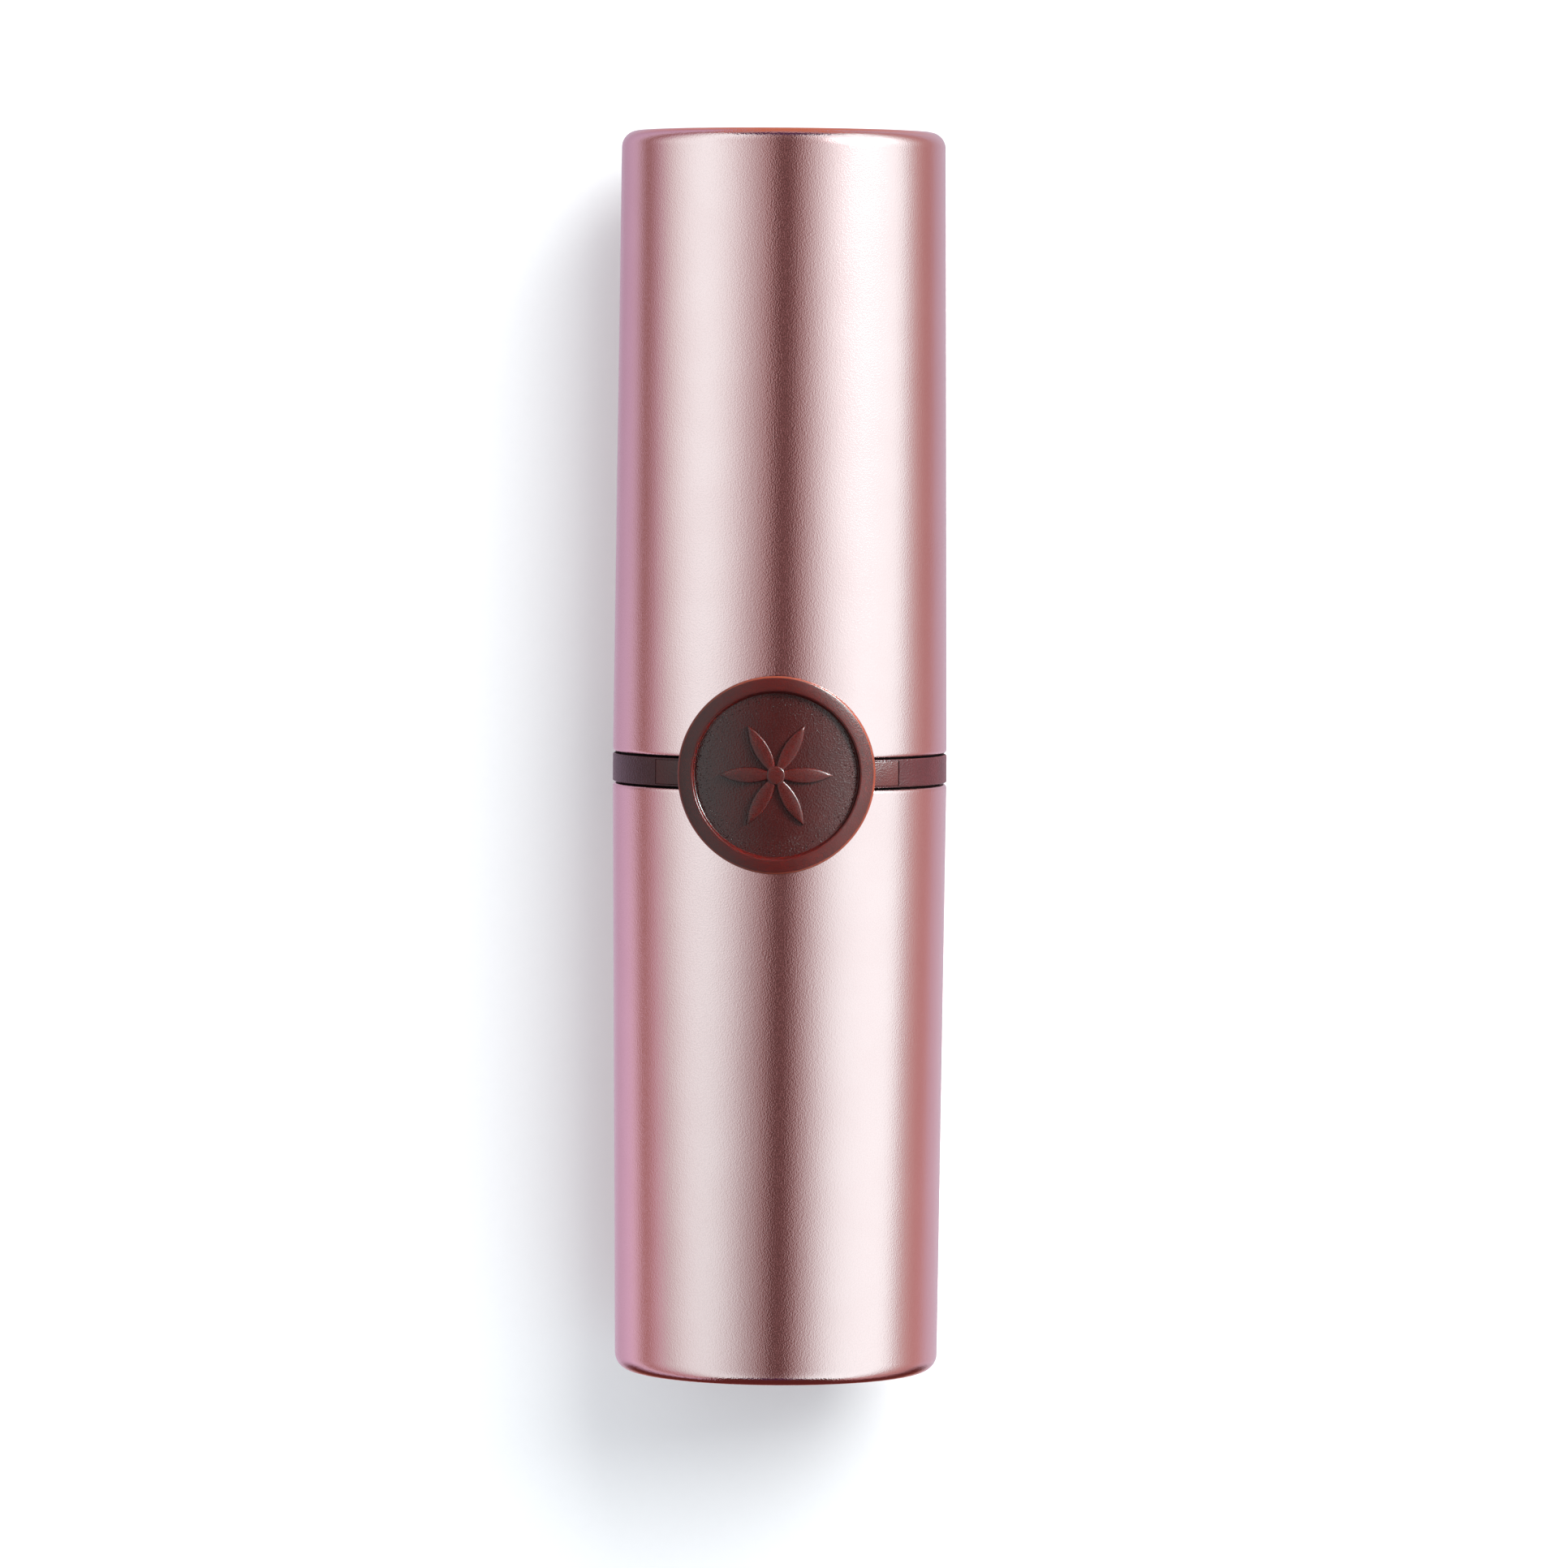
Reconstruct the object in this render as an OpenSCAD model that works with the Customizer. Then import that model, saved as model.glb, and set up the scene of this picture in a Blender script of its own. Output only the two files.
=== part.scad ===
// Twist-up lipstick case with a pull-off cap and a round badge that bridges the seam.
// Millimetres. Z is the axis of the case, the base stands on z = 0 and the badge faces -Y.
// The case is drawn closed, with the bullet wound all the way down.

/* [Case] */
// Height of the closed case
case_h = 75.7; // [75:0.1:78]
// Diameter at the seam, where the case is widest
case_d = 20.4; // [20.4:0.1:21.4]
// Height of the base shell
base_h = 36; // [35.6:0.1:36.6]
// Height of the band between base and cap
band_h = 1.7; // [1.5:0.1:2]
// How much narrower each shell is at its closed end, in diameter
draft = 0.66; // [0.3:0.02:0.7]
// Radius of the rounded closed ends
end_round = 1; // [0.6:0.1:1.2]
// Radius of the rims on both sides of the band
rim_round = 0.25; // [0.1:0.05:0.3]

/* [Badge] */
// Diameter of the badge
badge_d = 11.9; // [10:0.1:12.4]
// Width of the badge's raised rim
badge_rim = 0.95; // [0.8:0.05:1.3]
// How far the rim stands out from the case
badge_proud = 1.05; // [0.9:0.05:1.4]
// Depth of the sunken ground inside the rim
badge_sink = 0.35; // [0.2:0.05:0.4]
// Diameter of the six-petal flower on the ground
flower_d = 6.8; // [5:0.2:7.6]
// Half of the angle that the badge's arms span in the band
arm_angle = 46; // [38:1:50]

/* [Mechanism] */
// Diameter of the lipstick bullet
bullet_d = 12.1; // [11.9:0.05:12.15]
// Height that the bullet winds up
travel = 20.4; // [18:0.2:20.4]
// Turns of the collar that wind the bullet all the way up
turns = 1.5; // [1.25:0.25:2]
// Height that the collar stands above the band
collar_show = 15.9; // [15.5:0.1:16]
// Angle of the slant at the bullet's tip
tip_angle = 40; // [30:1:50]

/* [Hidden] */
$fn = 96;

fit = 0.02;    // radial room of a press fit
slip = 0.12;   // radial room of a part that moves
gap = 0.08;    // shadow line on each side of the band
past = 1;      // how far a cutter runs past what it cuts

// Heights of the parts that show.
case_r = case_d / 2;
end_r = case_r - draft / 2;
band_z0 = base_h + gap;
band_z1 = band_z0 + band_h;
cap_z0 = band_z1 + gap;
badge_z = (band_z0 + band_z1) / 2;

// Radii of the mechanism, from the bullet outwards.
bullet_r = bullet_d / 2;
cup_bore = bullet_r + fit;
cup_r = cup_bore + 0.45;
fork_bore = cup_r + slip;
fork_r = fork_bore + 0.58;
spiral_bore = fork_r + 0.1;
spiral_r = spiral_bore + 0.8;
collar_bore = spiral_r + fit;
collar_r = collar_bore + 0.36;
sleeve_bore = collar_r + 0.15;
sleeve_r = sleeve_bore + 0.6;
seat_bore = sleeve_r + fit;
low_bore = seat_bore - 0.3;
liner_bore = collar_r + 0.15;
liner_r = liner_bore + 0.5;
cap_bore = liner_r + fit;

// Heights of the mechanism, from the floor of the base upwards.
recess_r = end_r - end_round - 0.6;
recess_h = 0.25;
label_h = 0.12;
floor_z = 1.6;
weight_h = 7;
hub_z0 = floor_z + weight_h + 0.1;
flange_z = 18;
hub_z1 = 20.8;
ring_wire = 0.6;
sleeve_z0 = hub_z1 + fit;
spiral_z0 = hub_z1 + 2 * ring_wire + 0.05;
collar_top = band_z1 + collar_show;
collar_wall = 0.4;
fork_top = collar_top - 1;
lip_h = 0.85;
spiral_top = fork_top - lip_h - 0.15;
rim_lip_r = cup_r + 0.4;
cup_h = 9;
cup_z = 23;
cup_floor = 0.8;
bullet_top = collar_top - 0.9;

// Helix that lifts the cup.
pitch = travel / turns;
lug_r = 0.8;
lug_z = cup_z + 1.6;
lug_reach = spiral_bore + 0.4;
groove_r = lug_reach + 0.15;
groove_open = 2;
groove_z1 = lug_z + travel + groove_open / 2 + 0.2;
slot_w = 1.9;

// Cap.
crown = 1.2;
liner_z0 = cap_z0 + 0.6;
liner_crown = 0.6;
liner_top = case_h - crown - fit;
rib_room = 0.1;

// Badge.
badge_back = case_r + 0.15;
badge_face = case_r + badge_proud;
badge_ground = badge_face - badge_sink;
flower_face = badge_ground + 0.22;
pocket_r = case_r - 0.5;
pocket_lip = 0.08;
arm_z0 = band_z0 + pocket_lip + fit;
arm_z1 = band_z1 - pocket_lip - fit;
peg_r = 0.5;
peg_angle = 20;

// Points of an arc from angle a0 to a1, as a list.
function arc(x, y, r, a0, a1, n = 8) =
    [for (i = [0:n]) let(a = a0 + (a1 - a0) * i / n) [x + r * cos(a), y + r * sin(a)]];

module turned(profile) rotate_extrude() polygon(profile);

module tube(r0, r1, z0, z1) turned([[r0, z0], [r1, z0], [r1, z1], [r0, z1]]);

// Part of a tube, centred on the front of the case.
module front_sector(r0, r1, z0, z1, half_angle)
    rotate([0, 0, -90 - half_angle])
        rotate_extrude(angle = 2 * half_angle)
            polygon([[r0, z0], [r1, z0], [r1, z1], [r0, z1]]);

// Rod that runs outwards from r0 to r1 at an angle measured from +X.
module radial_rod(r, r0, r1, z, angle)
    rotate([0, 0, angle]) translate([r0, 0, z]) rotate([0, 90, 0]) cylinder(r = r, h = r1 - r0);

// Flat shape pushed through the front of the case at the badge's height.
module front_cut() translate([0, 0, badge_z]) rotate([90, 0, 0]) linear_extrude(case_d) children();

// A flat shape that follows the round of the case, from radius r0 to r1.
module wrapped(r0, r1)
    intersection() {
        tube(r0, r1, badge_z - badge_d, badge_z + badge_d);
        front_cut() children();
    }

// Outer shell of the base, closed below, with a recess for the label.
module base_shell()
    color("#d9a3a8")
        turned(concat(
            [[0, recess_h], [recess_r, recess_h], [recess_r, 0]],
            arc(end_r - end_round, end_round, end_round, -90, 0),
            arc(case_r - rim_round, base_h - rim_round, rim_round, 0, 90, 5),
            [[seat_bore + 0.1, base_h], [seat_bore, base_h - 0.1], [seat_bore, flange_z],
             [low_bore, flange_z], [low_bore, floor_z], [0, floor_z]]
        ));

// Steel slug that gives the base its heft.
module base_weight()
    color("#8a8d90") {
        r = low_bore - 0.15;
        edge = 0.4;
        turned([[0, floor_z], [r - edge, floor_z], [r, floor_z + edge],
                [r, floor_z + weight_h - edge], [r - edge, floor_z + weight_h], [0, floor_z + weight_h]]);
    }

// Round shade sticker in the recess under the base.
module base_label()
    color("#5b2f2b")
        translate([0, 0, recess_h - label_h]) cylinder(r = recess_r - 0.25, h = label_h);

// Hub pressed into the base, with a slotted tube that guides the cup.
module fork_tube()
    color("#e9e4de") {
        hub_r = low_bore - fit;
        hub_bore = hub_r - 1.3;
        barb = 0.3;
        difference() {
            turned([
                [hub_bore, hub_z0], [hub_r, hub_z0], [hub_r, flange_z], [seat_bore - fit, flange_z],
                [seat_bore - fit, hub_z1], [fork_r, hub_z1], [fork_r, fork_top - lip_h],
                [fork_r + barb, fork_top - lip_h], [fork_r + barb, fork_top - lip_h + 0.2],
                [fork_r - 0.1, fork_top], [fork_bore, fork_top], [fork_bore, hub_z1],
                [fork_bore - 1.4, hub_z1], [fork_bore - 1.4, hub_z1 - 1.4], [hub_bore, hub_z1 - 1.4]
            ]);
            slot_z = lug_z - lug_r - 0.1 + slot_w / 2;
            translate([-case_r, -slot_w / 2, slot_z]) cube([case_d, slot_w, case_h]);
            translate([-case_r, 0, slot_z]) rotate([0, 90, 0]) cylinder(d = slot_w, h = case_d);
        }
    }

// Rubber ring between hub and collar, for the feel of the twist.
module friction_ring()
    color("#2c2c2e")
        rotate_extrude() translate([fork_r + fit + ring_wire, hub_z1 + ring_wire]) circle(r = ring_wire);

// Band that shows at the seam, with a long sleeve inside the base.
module band_ring()
    color("#4b2a29") {
        shoulder_r = case_r - 0.45;
        edge = 0.15;
        difference() {
            turned(concat(
                [[sleeve_bore, sleeve_z0], [sleeve_r, sleeve_z0], [sleeve_r, base_h],
                 [shoulder_r, base_h], [shoulder_r, band_z0]],
                arc(case_r - edge, band_z0 + edge, edge, -90, 0, 4),
                arc(case_r - edge, band_z1 - edge, edge, 0, 90, 4),
                [[shoulder_r, band_z1], [shoulder_r, cap_z0 - fit], [sleeve_bore, cap_z0 - fit]]
            ));
            front_sector(pocket_r, case_r + past, band_z0 + pocket_lip, band_z1 - pocket_lip, arm_angle + 0.2);
            for (side = [-1, 1])
                radial_rod(peg_r + fit, pocket_r - 0.75, case_r, badge_z, -90 + side * peg_angle);
        }
    }

// Outline of a flower whose petals are the lenses between equal circles.
module flower(r)
    for (i = [0:5])
        rotate(i * 60)
            intersection() {
                translate([r * cos(60), r * sin(60)]) circle(r);
                translate([r * cos(60), -r * sin(60)]) circle(r);
            }

// Badge with a raised rim and flower, held by two arms and two pegs in the band.
module badge()
    color("#5a2f2a") {
        neck_angle = 24;
        bite = 0.05;
        wrapped(badge_back, badge_ground) circle(d = badge_d);
        wrapped(badge_ground - bite, badge_face) difference() {
            circle(d = badge_d);
            circle(d = badge_d - 2 * badge_rim);
        }
        wrapped(badge_ground - bite, flower_face) {
            flower(flower_d / 2);
            circle(r = flower_d / 12);
        }
        front_sector(pocket_r + fit, case_r, arm_z0, arm_z1, arm_angle);
        front_sector(case_r - 0.2, badge_back + 0.1, arm_z0, arm_z1, neck_angle);
        for (side = [-1, 1])
            radial_rod(peg_r, pocket_r - 0.7, case_r - 0.1, badge_z, -90 + side * peg_angle);
    }

// Metal sleeve that the fingers turn, rolled in at the top and beaded where the cap clicks on.
module collar_tube()
    color("#dcaab0") {
        bead_z = band_z1 + 2.6;
        bead = 0.07;
        bead_h = 0.8;
        roll = 0.25;
        turned(concat(
            [[collar_bore, spiral_z0], [collar_r, spiral_z0], [collar_r, bead_z]],
            [for (i = [1:7]) [collar_r + bead * sin(180 * i / 8), bead_z + bead_h * i / 8]],
            [[collar_r, bead_z + bead_h]],
            arc(collar_r - roll, collar_top - roll, roll, 0, 90, 5),
            arc(rim_lip_r + collar_wall / 2, collar_top - collar_wall / 2, collar_wall / 2, 90, 270, 6),
            [[collar_bore, collar_top - collar_wall]]
        ));
    }

// Sleeve whose two helical grooves lift the cup's lugs as the collar turns.
module spiral_sleeve()
    color("#f0ece6") {
        half = 180 * groove_open / pitch;
        cut_z0 = spiral_z0 - past;
        cut_h = groove_z1 - cut_z0;
        cut_twist = 360 * cut_h / pitch;
        start = 360 * (lug_z - cut_z0) / pitch;
        difference() {
            tube(spiral_bore, spiral_r, spiral_z0, spiral_top);
            for (side = [0, 180])
                translate([0, 0, cut_z0])
                    rotate([0, 0, start + side])
                        linear_extrude(cut_h, twist = cut_twist, slices = ceil(cut_twist / 12), $fn = 7)
                            polygon(concat(
                                arc(0, 0, groove_r, -half, half, 5),
                                arc(0, 0, spiral_bore - 0.5, half, -half, 2)
                            ));
        }
    }

// Carrier that holds the bullet, with a lug on each side.
module cup()
    color("#f4f1ec") {
        turned([[0, cup_z], [cup_r - 0.2, cup_z], [cup_r, cup_z + 0.2], [cup_r, cup_z + cup_h],
                [cup_bore, cup_z + cup_h], [cup_bore, cup_z + cup_floor], [0, cup_z + cup_floor]]);
        for (side = [0, 180])
            radial_rod(lug_r, cup_r - 0.2, lug_reach, lug_z, side);
    }

// Lipstick bullet, domed above, with a slant that faces the front.
module bullet()
    color("#7c3a34") {
        dome_r = 8;
        tip_y = 3;
        z0 = cup_z + cup_floor + fit;
        dome_z = bullet_top - sqrt(dome_r * dome_r - tip_y * tip_y);
        difference() {
            turned(concat([[0, z0], [bullet_r, z0]], arc(0, dome_z, dome_r, acos(bullet_r / dome_r), 90)));
            translate([0, tip_y, bullet_top])
                rotate([tip_angle, 0, 0])
                    translate([-case_r, -2 * case_d, 0]) cube([case_d, 4 * case_d, case_d]);
        }
    }

// Outer shell of the cap, closed above.
module cap_shell()
    color("#d9a3a8")
        turned(concat(
            [[0, case_h - crown], [cap_bore, case_h - crown], [cap_bore, cap_z0 + 0.1], [cap_bore + 0.1, cap_z0]],
            arc(case_r - rim_round, cap_z0 + rim_round, rim_round, -90, 0, 5),
            arc(end_r - end_round, case_h - end_round, end_round, 0, 90),
            [[0, case_h]]
        ));

// Inner cap, with six ribs that grip the collar.
module cap_liner()
    color("#3a2523") {
        rib_z0 = liner_z0 + 2.4;
        rib_h = 12;
        rib_w = 0.9;
        rib_in = collar_r + rib_room;
        turned([[liner_bore + 0.15, liner_z0], [liner_r, liner_z0], [liner_r, liner_top], [0, liner_top],
                [0, liner_top - liner_crown], [liner_bore, liner_top - liner_crown],
                [liner_bore, liner_z0 + 0.3]]);
        for (i = [0:5])
            rotate([0, 0, 60 * i + 30])
                translate([rib_in, -rib_w / 2, rib_z0]) cube([liner_bore + 0.2 - rib_in, rib_w, rib_h]);
    }

base_shell();
base_weight();
base_label();
fork_tube();
friction_ring();
band_ring();
badge();
collar_tube();
spiral_sleeve();
cup();
bullet();
cap_shell();
cap_liner();
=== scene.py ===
"""Twist-up lipstick case: two satin rose-gold shells, with a dark brown band and a round badge at the seam.

The badge is on the -Y side, which is the case's front.
"""
import math

import bmesh
import bpy
from mathutils import Matrix, Vector

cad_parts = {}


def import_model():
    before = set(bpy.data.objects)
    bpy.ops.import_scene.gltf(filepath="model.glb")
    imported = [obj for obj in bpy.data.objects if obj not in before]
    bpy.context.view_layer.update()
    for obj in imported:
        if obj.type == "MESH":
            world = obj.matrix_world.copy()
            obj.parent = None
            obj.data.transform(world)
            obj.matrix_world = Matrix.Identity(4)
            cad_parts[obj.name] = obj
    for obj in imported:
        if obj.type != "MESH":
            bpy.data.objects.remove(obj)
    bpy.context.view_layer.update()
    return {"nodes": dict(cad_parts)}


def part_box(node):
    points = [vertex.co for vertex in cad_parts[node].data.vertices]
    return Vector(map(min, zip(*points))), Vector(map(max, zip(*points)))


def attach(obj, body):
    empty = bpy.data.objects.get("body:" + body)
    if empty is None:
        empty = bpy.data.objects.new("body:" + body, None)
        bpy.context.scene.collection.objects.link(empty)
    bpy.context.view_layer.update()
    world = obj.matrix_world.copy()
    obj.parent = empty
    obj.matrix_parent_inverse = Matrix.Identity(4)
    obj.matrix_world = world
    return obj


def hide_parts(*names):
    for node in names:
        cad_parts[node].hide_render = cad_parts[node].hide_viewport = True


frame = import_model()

MM = 0.001

# A ring with a smaller radius than this is one point.
TOO_SMALL = 1e-7

# Places that the frame gives.
cap_low, cap_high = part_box("cap_shell")
base_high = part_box("base_shell")[1]
band_low, band_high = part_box("band_ring")
collar_low, collar_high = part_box("collar_tube")
bullet_low, bullet_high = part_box("bullet")
badge_low, badge_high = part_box("badge")
CASE_R = base_high.x
CASE_TOP = cap_high.z
BADGE_R = (badge_high.z - badge_low.z) / 2
BADGE_Z = (badge_high.z + badge_low.z) / 2
BADGE_FACE = -badge_low.y

# Sizes of the shells that their boxes don't show.
DRAFT = 0.33 * MM
END_ROUND = 1.0 * MM
RIM_ROUND = 0.25 * MM
CHAMFER = 0.1 * MM
SHELL_BORE = 9.17 * MM
END_R = CASE_R - DRAFT

# Sizes of the band and of what holds the badge on it: radii are from the case's axis, angles in degrees from
# the front. PEG_R is a peg's own radius, and END_BEVEL is the angle of the bevel at an arm's end.
GAP = 0.08 * MM
BAND_LOW, BAND_HIGH = base_high.z + GAP, cap_low.z - GAP
BAND_MIDDLE = (BAND_LOW + BAND_HIGH) / 2
SHOULDER_R = CASE_R - 0.45 * MM
SLEEVE_R = 9.25 * MM
SLEEVE_BORE = 8.69 * MM
LIP = 0.1 * MM
POCKET_R = 9.7 * MM
POCKET_ANGLE = 46.2
ARM_ANGLE = 46
LEFT_ARM_FURTHER = 0.15
END_BEVEL = 0.3
ARM_BACK = 9.72 * MM
NECK_ANGLE = 24
NECK_BACK, NECK_FRONT = 10.0 * MM, 10.45 * MM
PEG_ANGLE = 20
PEG_R = 0.5 * MM
PEG_LOW, PEG_HIGH = 9.0 * MM, 10.1 * MM

# Surfaces of the badge, by their distance from the case's axis.
BADGE_BACK = CASE_R + 0.15 * MM
BADGE_GROUND = BADGE_FACE - 0.35 * MM
FLOWER_FACE = BADGE_GROUND + 0.22 * MM

# Width of the badge's rim, length of a petal, how far the flower goes into the ground, and how far from the
# badge's centre its pits begin and are at their deepest.
BADGE_RIM = 0.95 * MM
FLOWER_R = 3.4 * MM
FLOWER_SUNK = 0.04 * MM
PITS_FROM, PITS_ALL = 3.4 * MM, 4.7 * MM

# Which of the badge's materials its parts get. All other parts get the first one, material 0.
# The badge's outer rounded edge has its own material, which is a painted reflection.
ON_GROUND, ON_FLOWER, ON_ARM, ON_EDGE_REFLECTION = 1, 2, 3, 4

# Sizes of the collar and the bullet.
BEAD = 0.07 * MM
COLLAR_R = collar_high.x - BEAD
COLLAR_BORE = 8.14 * MM
COLLAR_LIP_R = 6.92 * MM
COLLAR_WALL = 0.4 * MM
BULLET_R = bullet_high.x
DOME_R = 8 * MM
TIP_BACK = 3 * MM
TIP_SLOPE = math.tan(math.radians(40))


# ---------------------------------------------------------------- mesh helpers

def arc(x, z, r, start, end, steps=12):
    """Points along an arc in a profile, angles in degrees from +X."""
    angles = [math.radians(start + (end - start) * i / steps) for i in range(steps + 1)]
    return [(x + r * math.cos(a), z + r * math.sin(a)) for a in angles]


def with_supports(profile, near=0.08 * MM, long=0.4 * MM):
    """The closed profile with an extra point near both ends of each long stretch, so that it shades true."""
    points = []
    for (x0, z0), (x1, z1) in zip(profile, profile[1:] + profile[:1]):
        length = math.hypot(x1 - x0, z1 - z0)
        points.append((x0, z0))
        if length > long:
            for t in (near / length, 1 - near / length):
                points.append((x0 + (x1 - x0) * t, z0 + (z1 - z0) * t))
    return points


def in_scene(name, data):
    """A new object in the scene."""
    obj = bpy.data.objects.new(name, data)
    bpy.context.scene.collection.objects.link(obj)
    return obj


def finished(name, bm, sharp=32, body=None):
    """Turns a bmesh into a shaded object. Given a body, the object rides on it."""
    bmesh.ops.recalc_face_normals(bm, faces=bm.faces)
    mesh = bpy.data.meshes.new(name)
    bm.to_mesh(mesh)
    bm.free()
    mesh.shade_smooth()
    mesh.set_sharp_from_angle(angle=math.radians(sharp))
    obj = in_scene(name, mesh)
    if body:
        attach(obj, body)
    return obj


def lathe(name, profile, body):
    """A closed solid turned from a closed profile of (radius, height) points."""
    steps = 256
    bm = bmesh.new()
    turns = [2 * math.pi * i / steps for i in range(steps)]
    rings = []
    for r, z in with_supports(profile):
        if r < TOO_SMALL:
            rings.append([bm.verts.new((0, 0, z))] * steps)
        else:
            rings.append([bm.verts.new((r * math.cos(a), r * math.sin(a), z)) for a in turns])
    for lower, upper in zip(rings, rings[1:] + rings[:1]):
        for i in range(steps):
            j = (i + 1) % steps
            corners = list(dict.fromkeys([lower[i], lower[j], upper[j], upper[i]]))
            if len(corners) > 2:
                bm.faces.new(corners)
    return finished(name, bm, body=body)


def skin(bm, rings, material=0):
    """A closed skin over rings that have equally many vertices. Its first and last ring are filled."""
    faces = [bm.faces.new(rings[0]), bm.faces.new(rings[-1])]
    for first, second in zip(rings, rings[1:]):
        for j in range(len(first)):
            k = (j + 1) % len(first)
            faces.append(bm.faces.new((first[j], first[k], second[k], second[j])))
    for face in faces:
        face.material_index = material


def front_ring(bm, section, angle):
    """Vertices of a (radius, height) section, at an angle in degrees from the case's front."""
    a = math.radians(angle)
    return [bm.verts.new((r * math.sin(a), -r * math.cos(a), z)) for r, z in section]


def sweep(bm, section, end_section, half_angle, steps, material=0, further=0.0):
    """Sweeps a closed (radius, height) section round the case's front. Its ends have a section of their own,
    which can be a little smaller to bevel them. The left end can reach further than the right one."""
    start, end = -half_angle - further, half_angle
    between = [start + (end - start) * i / steps for i in range(1, steps)]
    rings = [front_ring(bm, end_section, start)]
    rings += [front_ring(bm, section, angle) for angle in [start + END_BEVEL] + between + [end - END_BEVEL]]
    rings += [front_ring(bm, end_section, end)]
    skin(bm, rings, material)


# ---------------------------------------------------------------- materials

def node_material(name, colour, roughness, metallic=0.0, **sockets):
    """A node material. Returns it with its tree and its Principled shader."""
    mat = bpy.data.materials.new(name)
    mat.use_nodes = True
    tree = mat.node_tree
    shader = tree.nodes["Principled BSDF"]
    shader.inputs["Base Color"].default_value = (*colour, 1)
    shader.inputs["Roughness"].default_value = roughness
    shader.inputs["Metallic"].default_value = metallic
    for socket, value in sockets.items():
        shader.inputs[socket.replace("_", " ")].default_value = value
    return mat, tree, shader


def factor_of(texture):
    """The factor that a texture gives, whose name depends on the Blender version."""
    return texture.outputs["Factor" if "Factor" in texture.outputs else "Fac"]


def noise(tree, size, detail=2.0, rough=0.5, stretch=(1, 1, 1)):
    """A noise texture in the piece's own frame, with features of a given size. Returns its factor."""
    where = tree.nodes.new("ShaderNodeTexCoord")
    mapping = tree.nodes.new("ShaderNodeMapping")
    mapping.inputs["Scale"].default_value = stretch
    texture = tree.nodes.new("ShaderNodeTexNoise")
    texture.inputs["Scale"].default_value = 1 / size
    texture.inputs["Detail"].default_value = detail
    texture.inputs["Roughness"].default_value = rough
    tree.links.new(where.outputs["Object"], mapping.inputs["Vector"])
    tree.links.new(mapping.outputs["Vector"], texture.inputs["Vector"])
    return factor_of(texture)


def ramp(tree, factor, low, high, start=0.3, end=0.7):
    """Spreads the middle of a factor between two values."""
    spread = tree.nodes.new("ShaderNodeMapRange")
    spread.inputs["To Min"].default_value = low
    spread.inputs["To Max"].default_value = high
    spread.inputs["From Min"].default_value = start
    spread.inputs["From Max"].default_value = end
    tree.links.new(factor, spread.inputs["Value"])
    return spread.outputs["Result"]


def rising(tree, value, start, end):
    """A factor that goes from 0 to 1 while a value goes from start to end."""
    return ramp(tree, value, 0, 1, start, end)


def tint(tree, factor, first, second):
    """Mixes two colours by a factor. Each is either a colour or a socket."""
    mix = tree.nodes.new("ShaderNodeMix")
    mix.data_type = "RGBA"
    for socket, colour in (("A", first), ("B", second)):
        if isinstance(colour, tuple):
            mix.inputs[socket].default_value = (*colour, 1)
        else:
            tree.links.new(colour, mix.inputs[socket])
    tree.links.new(factor, mix.inputs["Factor"])
    return mix.outputs["Result"]


def times(tree, first, second):
    """Product of two factors."""
    product = tree.nodes.new("ShaderNodeMath")
    product.operation = "MULTIPLY"
    tree.links.new(first, product.inputs[0])
    tree.links.new(second, product.inputs[1])
    return product.outputs["Value"]


def near_rim(tree):
    """A factor that is 0 over the middle of the badge and grows to 1 at its rim."""
    where = tree.nodes.new("ShaderNodeTexCoord")
    centred = tree.nodes.new("ShaderNodeMapping")
    centred.inputs["Location"].default_value = (0, 0, -BADGE_Z)
    centred.inputs["Scale"].default_value = (1, 0, 1)
    reach = tree.nodes.new("ShaderNodeVectorMath")
    reach.operation = "LENGTH"
    tree.links.new(where.outputs["Object"], centred.inputs["Vector"])
    tree.links.new(centred.outputs["Vector"], reach.inputs[0])
    return rising(tree, reach.outputs["Value"], PITS_FROM, PITS_ALL)


def relief(tree, height, depth, below=None):
    """A bump of a given depth, on top of another bump. Returns its normal."""
    bump = tree.nodes.new("ShaderNodeBump")
    bump.inputs["Strength"].default_value = 1.0
    bump.inputs["Distance"].default_value = depth
    tree.links.new(height, bump.inputs["Height"])
    if below is not None:
        tree.links.new(below, bump.inputs["Normal"])
    return bump.outputs["Normal"]


def pebbles(tree, size):
    """Rounded grains packed side by side, of a given size. Returns a height from 0 to about 0.7."""
    where = tree.nodes.new("ShaderNodeTexCoord")
    cells = tree.nodes.new("ShaderNodeTexVoronoi")
    cells.feature = "F1"
    cells.inputs["Scale"].default_value = 1 / size
    cells.inputs["Randomness"].default_value = 1.0
    tree.links.new(where.outputs["Object"], cells.inputs["Vector"])
    return cells.outputs["Distance"]


def satin_rose_gold():
    """Metallised shell with a fine sandy grain."""
    mat, tree, shader = node_material("satin_rose_gold", (0.80, 0.50, 0.50), 0.2, 1.0)
    grains = pebbles(tree, 0.09 * MM)
    patches = noise(tree, 3.5 * MM, 2.0)
    links = tree.links
    clean = tint(tree, ramp(tree, patches, 0, 1), (0.79, 0.49, 0.49), (0.81, 0.51, 0.51))
    links.new(tint(tree, ramp(tree, grains, 0, 0.07), clean, (0.5, 0.24, 0.24)), shader.inputs["Base Color"])
    links.new(ramp(tree, grains, 0.13, 0.165), shader.inputs["Roughness"])
    links.new(relief(tree, grains, 0.0060 * MM), shader.inputs["Normal"])
    return mat


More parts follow.
